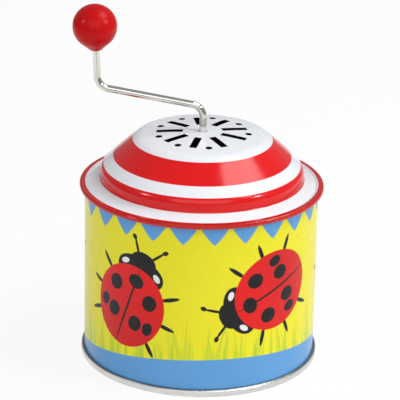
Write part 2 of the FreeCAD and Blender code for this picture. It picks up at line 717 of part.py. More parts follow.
def worm_wheel():
    """The wheel: hub, rim and drum plug turned in one, with teeth set at the worm's lead angle."""
    half = "(wheel_face / 2)"
    plug = "(drum_radius - drum_wall)"
    body = new_body("worm_wheel")
    revolve(body, [("arbor_radius", f"-{half} - hub_length"), ("hub_radius", f"-{half} - hub_length"),
                   ("hub_radius", f"-{half}"), (WHEEL_ROOT, f"-{half}"), (WHEEL_ROOT, half), (plug, half),
                   (plug, f"{half} + plug_length"), ("arbor_radius", f"{half} + plug_length")])
    twist = f"({half} * gear_module / (2 * worm_pitch) / {WHEEL_PITCH} * 180 / pi)"
    root = f"({WHEEL_ROOT} - tooth_sink)"
    root_half = f"(tooth_half + ({WHEEL_PITCH} - {root}) * tan(pressure_angle))"
    sections = []
    for side in ("-", ""):
        section = sketch_on(body, "XY_Plane", lift=side + half, turn=side + twist)
        trace(section, [(root, f"-{root_half}"), (WHEEL_TIP, "-tooth_tip_half"),
                        (WHEEL_TIP, "tooth_tip_half"), (root, root_half)])
        sections.append(section)
    tooth = body.newObject("PartDesign::AdditiveLoft", "Tooth")
    tooth.Profile = sections[0]
    tooth.Sections = [sections[1]]
    tooth.Ruled = True
    ring_of(body, tooth, "wheel_teeth")
    on_drum_axis(body)


def pin_drum():
    """The brass drum, a tube with the tune's pins raised on it, a row of pins under each comb tooth."""
    golden_turn = 137.5
    sizes = {"Radius": "drum_radius", "Height": f"{DRUM_END} - {DRUM_START}"}
    tube = primitive("Cylinder", "tube", sizes, z=DRUM_START)
    sizes = {"Radius": "drum_radius - drum_wall", "Height": f"{DRUM_END} - {DRUM_START}"}
    bore = primitive("Cylinder", "bore", sizes, z=DRUM_START)
    solids = [cut("barrel", tube, bore)]
    seat = "(drum_radius - drum_wall / 2)"
    pins = int(measure("pins_per_track"))
    for track in range(int(measure("comb_teeth"))):
        for pin in range(pins):
            angle = track * golden_turn + pin * 360 / pins
            outwards = FreeCAD.Vector(math.cos(math.radians(angle)), math.sin(math.radians(angle)), 0)
            turn = FreeCAD.Rotation(FreeCAD.Vector(0, 0, 1), outwards)
            sizes = {"Radius": "pin_radius", "Height": "pin_height + drum_wall / 2"}
            height = f"{COMB_START} + {track} * tooth_pitch + (tooth_pitch - tooth_gap) / 2"
            place = {"x": f"{seat} * cos({angle})", "y": f"{seat} * sin({angle})", "z": height}
            solids.append(primitive("Cylinder", "pin", sizes, turn, **place))
    on_drum_axis(node(join("pin_drum", solids), "pin_drum"))


def drum_cap():
    """The plug that closes the drum's far end, with a flange and a hub on the arbor."""
    plug = "(drum_radius - drum_wall)"
    face = f"({DRUM_END} + cap_flange)"
    body = new_body("drum_cap")
    revolve(body, [("arbor_radius", f"{DRUM_END} - plug_length"), (plug, f"{DRUM_END} - plug_length"),
                   (plug, DRUM_END), ("drum_radius", DRUM_END), ("drum_radius", face), ("hub_radius", face),
                   ("hub_radius", f"{face} + hub_length"), ("arbor_radius", f"{face} + hub_length")])
    on_drum_axis(body)


def drum_arbor():
    """The steel arbor that carries the drum, ending just outside both brackets."""
    body = new_body("drum_arbor")
    low = f"{NEAR_FACE} - bracket_gauge - arbor_overhang"
    high = f"{FAR_FACE} + bracket_gauge + arbor_overhang"
    revolve(body, [("0", low), ("arbor_radius", low), ("arbor_radius", high), ("0", high)])
    on_drum_axis(body)


def thrust_washer():
    """The washer that the worm's shoulder runs on."""
    body = new_body("thrust_washer")
    top = f"{BED_TOP} + washer_height"
    hole = "worm_journal + running_gap"
    revolve(body, [(hole, BED_TOP), ("washer_radius", BED_TOP), ("washer_radius", top), (hole, top)])


def comb():
    """The steel comb: thin teeth cut into the plate, and a thick heel that leaves the bass teeth longest."""
    body = new_body("comb")
    plate = sketch_on(body, "XY_Plane", lift=f"{COMB_TOP} - comb_tooth")
    trace(plate, [(COMB_START, HEEL_Y), (COMB_END, HEEL_Y), (COMB_END, TIP_Y), (COMB_START, TIP_Y)])
    pad(body, plate, "comb_tooth")
    slit = sketch_on(body, "XY_Plane")
    left, right = f"{COMB_START} + tooth_pitch - tooth_gap", f"{COMB_START} + tooth_pitch"
    low, high = f"{TIP_Y} - bass_length", f"{TIP_Y} + tip_gap"
    trace(slit, [(left, low), (right, low), (right, high), (left, high)])
    first_slit = pierce(body, slit)
    row = body.newObject("PartDesign::LinearPattern", "LinearPattern")
    row.Originals = [first_slit]
    row.Direction = (origin_item(body, "X_Axis"), [""])
    bind(row, {"Occurrences": "comb_teeth - 1", "Length": "tooth_pitch * (comb_teeth - 2)"})
    body.Tip = row
    heel = sketch_on(body, "XY_Plane", lift=COMB_UNDER)
    trace(heel, [(COMB_START, HEEL_Y), (COMB_END, HEEL_Y), (COMB_END, f"{TIP_Y} - treble_length"),
                 (COMB_START, f"{TIP_Y} - bass_length")])
    pad(body, heel, "comb_heel")
    holes = sketch_on(body, "XY_Plane")
    for x in COMB_SCREWS_X:
        circle(holes, x, COMB_SCREW_Y, "screw_radius + screw_gap")
    pierce(body, holes)


def comb_clamp():
    """The strip under the comb screws that presses the heel on its boss."""
    body = new_body("comb_clamp")
    front = f"{HEEL_Y} + clamp_inset"
    left, right = f"{COMB_START} + clamp_inset", f"{COMB_END} - clamp_inset"
    strip = sketch_on(body, "XY_Plane", lift=COMB_TOP)
    trace(strip, [(left, front), (right, front), (right, f"{front} + clamp_depth"),
                  (left, f"{front} + clamp_depth")])
    pad(body, strip, "clamp_gauge")
    holes = sketch_on(body, "XY_Plane")
    for x in COMB_SCREWS_X:
        circle(holes, x, COMB_SCREW_Y, "screw_radius + screw_gap")
    pierce(body, holes)


def tuning_weights():
    """Lead weights under the tips of the bass teeth, each as wide as its tooth."""
    weights = []
    sizes = {"Length": "tooth_pitch - tooth_gap", "Width": "weight_length", "Height": "weight_drop"}
    for tooth in range(int(measure("weight_count"))):
        place = {"x": f"{COMB_START} + {tooth} * tooth_pitch", "y": f"{TIP_Y} - weight_inset - weight_length",
                 "z": f"{COMB_TOP} - comb_tooth - weight_drop"}
        weights.append(primitive("Box", "weight", sizes, **place))
    group("tuning_weights", weights)


def screws():
    """The screws, in one group for each job."""
    comb_seat = f"({COMB_TOP} + clamp_gauge)"
    group("comb_screws", [screw(x, COMB_SCREW_Y, comb_seat, "comb_screw_length") for x in COMB_SCREWS_X])
    bracket_seat = f"({BED_TOP} + bracket_gauge)"
    places = bracket_screw_places()
    group("bracket_screws", [screw(x, y, bracket_seat, "bracket_screw_length") for x, y in places])
    base_screws = [screw(x, y, "base_recess", "base_screw_length", upwards=True) for x, y in BED_FEET]
    group("base_screws", base_screws)


can_body()
base_plate()
lid()
crank_wire()
knob()
bedplate()
arbor_bracket("far_bracket", FAR_FACE, 0)
arbor_bracket("near_bracket", NEAR_FACE, 180)
worm_bracket()
thrust_washer()
worm()
worm_wheel()
pin_drum()
drum_cap()
drum_arbor()
comb()
comb_clamp()
tuning_weights()
screws()
doc.recompute()

failed = [item.Label for item in doc.Objects if {"Invalid", "Error"} & set(item.State)]
failed += [piece.Label for piece in NODES if piece.Shape.isNull() or not piece.Shape.isValid()]
if failed:
    raise RuntimeError("failed: " + ", ".join(failed))
os.makedirs("parts", exist_ok=True)
for piece in NODES:
    piece.Shape.exportStep(f"parts/{piece.Label}.step")
    print(f"{piece.Label}: {len(piece.Shape.Solids)} solids, {piece.Shape.Volume:.1f} mm3")
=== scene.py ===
import math

import bpy
from mathutils import Euler, Matrix, Vector


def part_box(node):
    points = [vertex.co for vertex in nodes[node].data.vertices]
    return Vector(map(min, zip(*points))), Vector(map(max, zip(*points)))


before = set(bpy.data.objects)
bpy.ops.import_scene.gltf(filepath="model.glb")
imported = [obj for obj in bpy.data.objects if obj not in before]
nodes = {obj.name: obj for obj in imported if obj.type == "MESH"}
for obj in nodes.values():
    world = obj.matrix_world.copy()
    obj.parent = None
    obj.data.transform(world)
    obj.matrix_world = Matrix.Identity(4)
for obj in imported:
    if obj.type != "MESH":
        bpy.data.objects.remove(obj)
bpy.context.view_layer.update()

# Bedplate: a small zinc casting that carries the whole tune work.
# It comes grey and slightly pebbled from the die, stands on three feet inside the base,
# and has a raised boss, milled flat, for the comb.
ZINC_GREY = (0.36, 0.37, 0.38, 1)
ZINC_DARK = (0.24, 0.245, 0.255, 1)
ZINC_BLOTCHES = 900
ZINC_MOTTLE = (0.35, 0.7)
ZINC_METAL = 0.85
ZINC_DULL_SPOTS = 500
ZINC_ROUGHNESS = (0.42, 0.6)
PEBBLES = 2600
PEBBLE_DEPTH = 0.00004
NOISE_MIDDLE = (0.3, 0.7)
NOISE_ROUGHNESS = 0.55
EVEN = (1, 1, 1)


def new_finish(name):
    """An empty finish with its node tree and its surface shader."""
    finish = bpy.data.materials.new(name)
    finish.use_nodes = True
    return finish, finish.node_tree, finish.node_tree.nodes["Principled BSDF"]


def feed(tree, socket, source):
    """Links a socket into another, or sets a plain value on it."""
    if isinstance(source, bpy.types.NodeSocket):
        tree.links.new(source, socket)
    else:
        socket.default_value = source


def add(tree, kind, sources=(), **settings):
    """A node of a kind with its settings, its sockets fed by name or number."""
    step = tree.nodes.new("ShaderNode" + kind)
    for setting, choice in settings.items():
        setattr(step, setting, choice)
    for place, source in dict(sources).items():
        feed(tree, step.inputs[place], source)
    return step


def calc(tree, operation, *terms):
    """One sum on numbers."""
    return add(tree, "Math", dict(enumerate(terms)), operation=operation).outputs[0]


def blend_colours(tree, share, first, second):
    """Goes from the first colour to the second as the share goes from 0 to 1."""
    step = add(tree, "Mix", data_type="RGBA", clamp_factor=True)
    for place, source in ((0, share), (6, first), (7, second)):
        feed(tree, step.inputs[place], source)
    return step.outputs[2]


def span(tree, source, low, high, out_low=0.0, out_high=1.0):
    """Maps a number's stretch onto another, smoothly, and stops at both ends."""
    places = {"Value": source, "From Min": low, "From Max": high,
              "To Min": out_low, "To Max": out_high}
    return add(tree, "MapRange", places, interpolation_type="SMOOTHSTEP").outputs[0]


def own_place(tree):
    """The point on the piece, in metres in the tin's own frame."""
    place = tree.nodes.get("own place") or add(tree, "TexCoord", name="own place")
    return place.outputs["Object"]


def speckle(tree, scale, detail=3.0, stretch=EVEN):
    """A cloudy noise over the piece, with about scale blotches to the metre."""
    place = own_place(tree)
    if stretch != EVEN:
        place = add(tree, "Mapping", {"Vector": place, "Scale": stretch}).outputs[0]
    places = {"Vector": place, "Scale": scale, "Detail": detail, "Roughness": NOISE_ROUGHNESS}
    return add(tree, "TexNoise", places).outputs["Fac"]


def paint(tree, shader, colour):
    """Gives the surface its colour."""
    feed(tree, shader.inputs["Base Color"], colour)


def vary_gloss(tree, shader, noise, roughness):
    """Lets the surface's roughness wander between two values with a noise."""
    feed(tree, shader.inputs["Roughness"], span(tree, noise, *NOISE_MIDDLE, *roughness))


def raise_by(tree, shader, height, depth):
    """Raises the surface's shading by a height pattern whose full step is depth metres."""
    bump = add(tree, "Bump", {"Height": height, "Distance": depth, "Strength": 1.0})
    feed(tree, shader.inputs["Normal"], bump.outputs[0])


def dress(names, finish):
    """Gives CAD pieces a finish."""
    for name in names:
        nodes[name].data.materials.clear()
        nodes[name].data.materials.append(finish)


zinc, tree, shader = new_finish("cast_zinc")
mottled = span(tree, speckle(tree, ZINC_BLOTCHES, detail=5), *ZINC_MOTTLE)
paint(tree, shader, blend_colours(tree, mottled, ZINC_DARK, ZINC_GREY))
shader.inputs["Metallic"].default_value = ZINC_METAL
vary_gloss(tree, shader, speckle(tree, ZINC_DULL_SPOTS), ZINC_ROUGHNESS)
raise_by(tree, shader, speckle(tree, PEBBLES, detail=2), PEBBLE_DEPTH)
dress(["bedplate"], zinc)

# Worm, wheel and drum: turned and cut from brass rod and tube, with fine lathe rings round them.
# The wheel's plug and the cap are pressed into the drum, and the worm on the crank's lower end;
# a nylon washer takes the worm's thrust.
BRASS_BRIGHT = (0.78, 0.55, 0.22, 1)
BRASS_AGED = (0.56, 0.37, 0.13, 1)
BRASS_BLOTCHES = 160
BRASS_MOTTLE = (0.3, 0.75)
BRASS_DULL_SPOTS = 420
BRASS_ROUGHNESS = (0.2, 0.36)
LATHE_RINGS = 9000
LATHE_STRETCH = (1, 0.02, 0.02)
LATHE_DEPTH = 0.000006
NYLON = (0.80, 0.78, 0.72, 1)
NYLON_SHADE = (0.72, 0.702, 0.648, 1)
NYLON_BLOTCHES = 700
NYLON_DULL_SPOTS = 1200
NYLON_ROUGHNESS = (0.4, 0.55)

brass, tree, shader = new_finish("turned_brass")
mottled = span(tree, speckle(tree, BRASS_BLOTCHES, detail=6), *BRASS_MOTTLE)
paint(tree, shader, blend_colours(tree, mottled, BRASS_BRIGHT, BRASS_AGED))
shader.inputs["Metallic"].default_value = 1.0
vary_gloss(tree, shader, speckle(tree, BRASS_DULL_SPOTS), BRASS_ROUGHNESS)
raise_by(tree, shader, speckle(tree, LATHE_RINGS, detail=1, stretch=LATHE_STRETCH), LATHE_DEPTH)
dress(["worm", "worm_wheel", "pin_drum", "drum_cap"], brass)

nylon, tree, shader = new_finish("washer_nylon")
paint(tree, shader, blend_colours(tree, speckle(tree, NYLON_BLOTCHES), NYLON, NYLON_SHADE))
vary_gloss(tree, shader, speckle(tree, NYLON_DULL_SPOTS), NYLON_ROUGHNESS)
dress(["thrust_washer"], nylon)

# Comb, brackets, arbor and screws: ground spring steel, plated strip and turned screws.
# The comb is ground across its teeth, the strips keep the mill's long scratches,
# and the lead weights under the bass teeth are dull and dark.
STEEL_BRIGHT = (0.62, 0.63, 0.65, 1)
STEEL_SHADE = (0.44, 0.45, 0.47, 1)
STEEL_SCRATCHES = 1400
SCRATCH_DEPTH = 0.000004
ACROSS_TEETH = (0.06, 1, 1)
UP_THE_STRIP = (1, 1, 0.08)
COMB_ROUGHNESS = (0.22, 0.36)
STRIP_ROUGHNESS = (0.26, 0.4)
SCREW_ROUGHNESS = (0.18, 0.32)
LEAD_GREY = (0.11, 0.115, 0.125, 1)
LEAD_PALE = (0.19, 0.195, 0.205, 1)
LEAD_BLOTCHES = 1500
LEAD_METAL = 0.7
LEAD_DULL_SPOTS = 900
LEAD_ROUGHNESS = (0.55, 0.75)


def ground_steel(name, stretch, roughness):
    """Bright steel with scratches that run the way the stretch says."""
    finish, tree, shader = new_finish(name)
    marks = speckle(tree, STEEL_SCRATCHES, detail=4, stretch=stretch)
    paint(tree, shader,
          blend_colours(tree, span(tree, marks, *NOISE_MIDDLE), STEEL_SHADE, STEEL_BRIGHT))
    shader.inputs["Metallic"].default_value = 1.0
    vary_gloss(tree, shader, marks, roughness)
    raise_by(tree, shader, marks, SCRATCH_DEPTH)
    return finish


dress(["comb"], ground_steel("ground_comb", ACROSS_TEETH, COMB_ROUGHNESS))
dress(["worm_bracket", "near_bracket", "far_bracket", "comb_clamp"],
      ground_steel("plated_strip", UP_THE_STRIP, STRIP_ROUGHNESS))
dress(["drum_arbor", "comb_screws", "bracket_screws", "base_screws"],
      ground_steel("turned_screw", EVEN, SCREW_ROUGHNESS))

lead, tree, shader = new_finish("dull_lead")
mottled = speckle(tree, LEAD_BLOTCHES, detail=4)
paint(tree, shader, blend_colours(tree, mottled, LEAD_GREY, LEAD_PALE))
shader.inputs["Metallic"].default_value = LEAD_METAL
vary_gloss(tree, shader, speckle(tree, LEAD_DULL_SPOTS), LEAD_ROUGHNESS)
dress(["tuning_weights"], lead)

# Base end: bare bright tinplate, pressed with a sunk panel and rolled round the wall's flange.
# The rolling leaves faint streaks round the rim, and a dark line is painted round the top of the
# rim for shade and a dark reflection in the crease where it meets the wall, and handling leaves
# soft grey patches on the panel.
TIN_BRIGHT = (0.74, 0.725, 0.70, 1)
TIN_SHADE = (0.62, 0.605, 0.58, 1)
TIN_STREAKS = 260
STREAK_STRETCH = (1, 1, 9)
STREAK_MOTTLE = (0.35, 0.75)
TIN_DULL_SPOTS = 120
TIN_ROUGHNESS = (0.32, 0.42)
TIN_WAVES = 200
WAVE_STRETCH = (1, 1, 3)
WAVE_DEPTH = 0.000003
# painted shade: a dark colour for the top of the rim, standing in for shade and a dark reflection
# in the crease against the wall
CREASE_PAINTED_SHADE = (0.34, 0.325, 0.315, 1)
CREASE_SHADE_HEIGHTS = (2.12, 2.55)
CREASE_SHADE_RADIUS = 40.8


def millimetres(tree):
    """The point on the piece as three numbers in millimetres."""
    parts = add(tree, "SeparateXYZ", {0: own_place(tree)})
    return [calc(tree, "MULTIPLY", part, 1000.0) for part in parts.outputs]


def from_axis(tree, east, north):
    """How far the point is from the tin's upright axis."""
    squares = [calc(tree, "POWER", side, 2.0) for side in (east, north)]
    return calc(tree, "SQRT", calc(tree, "ADD", *squares))


bare_tin, tree, shader = new_finish("bare_tinplate")
rolled = speckle(tree, TIN_STREAKS, detail=4, stretch=STREAK_STRETCH)
east, north, height = millimetres(tree)
# painted shade: the rim is darkened above the crease heights, outside the crease radius
painted_crease_shade = calc(tree, "MULTIPLY", span(tree, height, *CREASE_SHADE_HEIGHTS),
              calc(tree, "GREATER_THAN", from_axis(tree, east, north), CREASE_SHADE_RADIUS))
tin = blend_colours(tree, span(tree, rolled, *STREAK_MOTTLE), TIN_BRIGHT, TIN_SHADE)
paint(tree, shader, blend_colours(tree, painted_crease_shade, tin, CREASE_PAINTED_SHADE))
shader.inputs["Metallic"].default_value = 1.0
vary_gloss(tree, shader, speckle(tree, TIN_DULL_SPOTS, detail=5), TIN_ROUGHNESS)
raise_by(tree, shader, speckle(tree, TIN_WAVES, detail=1, stretch=WAVE_STRETCH), WAVE_DEPTH)
dress(["base_plate"], bare_tin)

# Can wall: a strip of tinplate printed flat and lacquered, then rolled and lock-seamed.
# The print is a yellow meadow with grass and ladybirds, a blue strip of ground along the foot
# and a row of blue pennants that hang from under the lid's rim.
WALL_RADIUS = 41.1
INK_EDGE = 0.09
INK_BLACK = (0.005, 0.005, 0.006, 1)
YELLOW = (0.79, 0.735, 0.008, 1)
YELLOW_PALE = (0.82, 0.76, 0.018, 1)
YELLOW_BLOTCHES = 45
BLUE = (0.12, 0.352, 0.69, 1)
BLUE_DEEP = (0.10, 0.312, 0.645, 1)
BLUE_BLOTCHES = 60
PENNANT_COUNT = 24
PENNANT_TURN = math.radians(6.8)
PENNANT_TOP = 62.4
PENNANT_DROP = 6.3
PENNANT_WIDTH = 0.95
PENNANT_BOW = 1.25
GROUND_HEIGHT = 9.0
# Each swell of the ground: its height, its waves round the tin, and where it starts.
GROUND_SWELLS = ((3.4, 1, 0.0), (1.4, 1, math.pi / 2), (1.2, 2, 0.0))
# Each row of grass: its blades, their reach and width, the ink's strength and its green.
GRASS_ROWS = ((71, 9.0, 0.15, 0.55, (0.45, 0.64, 0.02, 1)),
              (43, 15.0, 0.12, 0.60, (0.38, 0.58, 0.02, 1)),
              (29, 20.0, 0.10, 0.55, (0.42, 0.60, 0.025, 1)),
              (19, 27.0, 0.08, 0.50, (0.38, 0.54, 0.03, 1)),
              (13, 36.0, 0.04, 0.40, (0.42, 0.56, 0.05, 1)))
BLADE_SHORTEST = 0.5
BLADE_ROOM = 0.96
BLADE_BEND = 1.7
BLADE_EDGE = 0.02
FIRST_LADYBIRD = math.radians(-36)
# Each ladybird's heading and height. The fourth place is at the seam, where the print stays clear.
LADYBIRDS = ((-20, 32.0), (112, 36.0), (-48, 33.5), (0, 34.0), (64, 35.5))
SEAM_MARGIN = math.radians(148)
# One half of a ladybird that heads upwards: each oval's centre, half sizes and tilt.
LEG_SIZE = (0.75, 3.6)
LEGS = (((13.6, 8.4), LEG_SIZE, -58), ((15.6, -2.0), LEG_SIZE, -92),
        ((13.0, -12.4), LEG_SIZE, -132))
FEELERS = (((3.9, 20.6), (0.5, 3.8), -34), ((6.2, 23.7), (1.1, 0.8), 40))
HEAD = (((0, 16.4), (5.0, 3.6), 0), ((0, 12.2), (9.4, 5.6), 0))
CHEEK = ((6.6, 13.4), (1.7, 1.0), -36)
WINGS = ((0, -2.0), (14.2, 15.6), 0)
SPOTS = (((0, 8.4), (3.0, 2.6), 0), ((7.4, 3.4), (2.7, 3.0), 0),
         ((4.9, -6.6), (2.6, 2.9), 0), ((10.0, -6.0), (1.9, 2.5), 0))
WING_SPLIT = ((0, -2.4), (0.42, 15.4), 0)
WING_RED = (0.735, 0.005, 0.005, 1)
WING_DARK = (0.63, 0.003, 0.004, 1)
WING_SHADING = (-16.0, 12.0)
CHEEK_WHITE = (0.80, 0.80, 0.76, 1)
SEAM_BARE = 1.1
SEAM_FOLD = 0.35
SEAM_DEPTH = 0.00025
SEAM_DARK = (0.10, 0.10, 0.11, 1)
# painted shade: the inner skins of wall and lid are coloured nearly black, standing in for the
# shade inside the closed tin so the slots look black
INSIDE_PAINTED_SHADE = (0.16, 0.155, 0.15, 1)
LACQUER_DULL_SPOTS = 90
LACQUER_ROUGHNESS = (0.24, 0.34)
LACQUER_GLOSS = 0.3
LACQUER_BUMPS = 420
LACQUER_PEEL = 0.0000007


def fade(tree, source, low, high):
    """1 before a number's stretch and 0 past it."""
    return span(tree, source, low, high, 1.0, 0.0)


def edge_at(level):
    """Where an inked edge at a level starts and ends."""
    return level - INK_EDGE, level + INK_EDGE


def oval(tree, point, centre, half_sizes, tilt):
    """1 inside an oval of ink and 0 outside it."""
    places = {"Vector": point, "Location": (*centre, 0), "Rotation": (0, 0, math.radians(tilt)),
              "Scale": (*half_sizes, 1)}
    local = add(tree, "Mapping", places, vector_type="TEXTURE").outputs[0]
    reach = add(tree, "VectorMath", {0: local}, operation="LENGTH").outputs["Value"]
    edge = INK_EDGE / min(half_sizes)
    return fade(tree, reach, 1 - edge, 1 + edge)


def any_of(tree, masks):
    """1 where any of the masks is."""
    whole = masks[0]
    for mask in masks[1:]:
        whole = calc(tree, "MAXIMUM", whole, mask)
    return whole


def past_edge(tree, distance):
    """1 past an inked edge and 0 before it."""
    return span(tree, distance, *edge_at(0.0))


def skin_side(tree, normal, place):
    """More than 0 on the skin that faces away from the place's origin, less on the other."""
    return add(tree, "VectorMath", {0: normal, 1: place}, operation="DOT_PRODUCT").outputs["Value"]


def ladybird(tree, across, up, ground):
    """A seven-spot ladybird that heads upwards, printed over a ground colour."""
    point = add(tree, "CombineXYZ", {0: calc(tree, "ABSOLUTE", across), 1: up}).outputs[0]
    dark = [oval(tree, point, *shape) for shape in LEGS + FEELERS + HEAD]
    cheek = oval(tree, point, *CHEEK)
    wings = oval(tree, point, *WINGS)
    spots = [oval(tree, point, *shape) for shape in SPOTS + (WING_SPLIT,)]
    shaded = blend_colours(tree, span(tree, up, *WING_SHADING), WING_DARK, WING_RED)
    ink = blend_colours(tree, any_of(tree, dark), ground, INK_BLACK)
    ink = blend_colours(tree, cheek, ink, CHEEK_WHITE)
    ink = blend_colours(tree, wings, ink, shaded)
    on_wings = calc(tree, "MULTIPLY", any_of(tree, spots), wings)
    return blend_colours(tree, on_wings, ink, INK_BLACK)


def grass_row(tree, turn, height, ground, count, reach, width):
    """1 inside a row of blades of grass, each with a height and a lean of its own."""
    along = calc(tree, "MULTIPLY", turn, count / math.tau)
    cell = calc(tree, "FLOOR", along)
    seed = calc(tree, "ADD", cell, reach)
    chance = add(tree, "TexWhiteNoise", {"W": seed}, noise_dimensions="1D")
    chances = add(tree, "SeparateXYZ", {0: chance.outputs["Color"]})
    tall = calc(tree, "MULTIPLY_ADD", chances.outputs[0],
                (1 - BLADE_SHORTEST) * reach, BLADE_SHORTEST * reach)
    rise = calc(tree, "DIVIDE", calc(tree, "SUBTRACT", height, ground), tall)
    lean = calc(tree, "MULTIPLY_ADD", chances.outputs[1],
                BLADE_ROOM - 2 * width, width - BLADE_ROOM / 2)
    bend = calc(tree, "POWER", calc(tree, "MAXIMUM", rise, 0.0), BLADE_BEND)
    bow = calc(tree, "MULTIPLY", lean, bend)
    in_cell = calc(tree, "SUBTRACT", calc(tree, "SUBTRACT", along, cell), 0.5)
    offset = calc(tree, "ABSOLUTE", calc(tree, "SUBTRACT", in_cell, bow))
    half = calc(tree, "MULTIPLY", calc(tree, "SUBTRACT", 1.0, rise), width)
    return span(tree, calc(tree, "SUBTRACT", half, offset), 0.0, BLADE_EDGE)


printed, tree, shader = new_finish("printed_tin")
east, north, height = millimetres(tree)
turn = calc(tree, "ARCTAN2", east, calc(tree, "MULTIPLY", north, -1.0))
ground = GROUND_HEIGHT
for swell, waves, start in GROUND_SWELLS:
    wave = calc(tree, "COSINE", calc(tree, "MULTIPLY_ADD", turn, waves, -start))
    ground = calc(tree, "MULTIPLY_ADD", wave, swell, ground)
ink = blend_colours(tree, speckle(tree, YELLOW_BLOTCHES, detail=4), YELLOW, YELLOW_PALE)
for count, reach, width, strength, green in GRASS_ROWS:
    blades = grass_row(tree, turn, height, ground, count, reach, width)
    ink = blend_colours(tree, calc(tree, "MULTIPLY", blades, strength), ink, green)

count = len(LADYBIRDS)
past_first = calc(tree, "SUBTRACT", turn, FIRST_LADYBIRD)
nearest = calc(tree, "ROUND", calc(tree, "MULTIPLY", past_first, count / math.tau))
away = calc(tree, "MULTIPLY_ADD", nearest, -math.tau / count, past_first)
across = calc(tree, "MULTIPLY", away, WALL_RADIUS)
number = calc(tree, "WRAP", nearest, count - 0.5, -0.5)
# The chart holds each ladybird's heading and height as shares, in a colour.
chart = add(tree, "ValToRGB", {0: calc(tree, "DIVIDE", number, count)})
chart.color_ramp.interpolation = "CONSTANT"
stops = chart.color_ramp.elements
for place, (heading, level) in enumerate(LADYBIRDS):
    stop = stops[place] if place < len(stops) else stops.new(1.0)
    stop.position = max(0.0, (place - 0.5) / count)
    stop.color = (heading / 360 + 0.5, level / PENNANT_TOP, 0, 1)
charted = add(tree, "SeparateXYZ", {0: chart.outputs["Color"]})
above = calc(tree, "MULTIPLY_ADD", charted.outputs[1], -PENNANT_TOP, height)
swing = calc(tree, "MULTIPLY_ADD", charted.outputs[0], -math.tau, math.pi)
aside = add(tree, "CombineXYZ", {0: across, 1: above}).outputs[0]
headed = add(tree, "VectorRotate", {"Vector": aside, "Angle": swing}, rotation_type="Z_AXIS")
spread = add(tree, "SeparateXYZ", {0: headed.outputs[0]})
drawn = ladybird(tree, spread.outputs[0], spread.outputs[1], ink)
clear_of_seam = calc(tree, "LESS_THAN", calc(tree, "ABSOLUTE", turn), SEAM_MARGIN)
ink = blend_colours(tree, clear_of_seam, ink, drawn)

blue = blend_colours(tree, speckle(tree, BLUE_BLOTCHES), BLUE, BLUE_DEEP)
ink = blend_colours(tree, past_edge(tree, calc(tree, "SUBTRACT", ground, height)), ink, blue)
from_pennant = calc(tree, "SUBTRACT", turn, PENNANT_TURN)
step = calc(tree, "MULTIPLY", from_pennant, PENNANT_COUNT / math.tau)
from_tip = calc(tree, "MULTIPLY", calc(tree, "PINGPONG", step, 0.5), 2.0 / PENNANT_WIDTH)
drop = calc(tree, "SUBTRACT", 1.0, calc(tree, "POWER", from_tip, PENNANT_BOW))
hem = calc(tree, "MULTIPLY_ADD", drop, -PENNANT_DROP, PENNANT_TOP)
ink = blend_colours(tree, past_edge(tree, calc(tree, "SUBTRACT", height, hem)), ink, blue)

behind = calc(tree, "SUBTRACT", math.pi, calc(tree, "ABSOLUTE", turn))
behind = calc(tree, "MULTIPLY", behind, WALL_RADIUS)
bare_strip = fade(tree, behind, SEAM_BARE, SEAM_BARE + INK_EDGE)
folded = span(tree, behind, 0.0, SEAM_FOLD)
bare = blend_colours(tree, folded, SEAM_DARK, TIN_BRIGHT)
ink = blend_colours(tree, bare_strip, ink, bare)
# painted shade: the wall's inner skin takes the dark inside colour
normal = add(tree, "NewGeometry").outputs["True Normal"]
shaded_inside = calc(tree, "LESS_THAN", skin_side(tree, normal, own_place(tree)), 0.0)
paint(tree, shader, blend_colours(tree, shaded_inside, ink, INSIDE_PAINTED_SHADE))
feed(tree, shader.inputs["Metallic"], calc(tree, "MAXIMUM", bare_strip, shaded_inside))
vary_gloss(tree, shader, speckle(tree, LACQUER_DULL_SPOTS, detail=4), LACQUER_ROUGHNESS)
shader.inputs["Specular IOR Level"].default_value = LACQUER_GLOSS
peel = calc(tree, "MULTIPLY", speckle(tree, LACQUER_BUMPS), LACQUER_PEEL)
raise_by(tree, shader, calc(tree, "MULTIPLY_ADD", folded, SEAM_DEPTH, peel), 1.0)
dress(["can_body"], printed)

# Lid: one pressing of tinplate, printed in red and white rings before it was drawn.
# Nine slots and eight round holes are punched in the cap, a collar for the crank is drawn
# at the top, and the edge is rolled over the wall's flange into a red rim.
LID_RED = (0.74, 0.006, 0.007, 1)
LID_RED_DEEP = (0.69, 0.005, 0.006, 1)
LID_RED_BLOTCHES = 55
LID_WHITE = (0.83, 0.845, 0.875, 1)
LID_WHITE_WARM = (0.80, 0.815, 0.845, 1)
LID_WHITE_BLOTCHES = 40
RED_RINGS = ((65.75, 70.7), (73.7, 79.9))
RED_RIM_RADIUS = 41.0
# painted shade: the rolled rim is coloured a darker red than its ink, standing in for the shade
# and dark reflections on its curled faces
RIM_RED_PAINTED_SHADE = (0.52, 0.007, 0.004, 1)
PUNCHED_RADIUS = 20.0
PUNCHED_HEIGHT = 79.0
PUNCHED_SLOPE = (0.3, 0.4)
SHADED_INSIDE_RADIUS = 37.0
CAN_MIDDLE = (0, 0, 0.04)
LID_DULL_SPOTS = 110
LID_ROUGHNESS = (0.12, 0.17)
LID_GLOSS = 0.4
LID_WAVES = 300
LID_WAVE_DEPTH = 0.000004

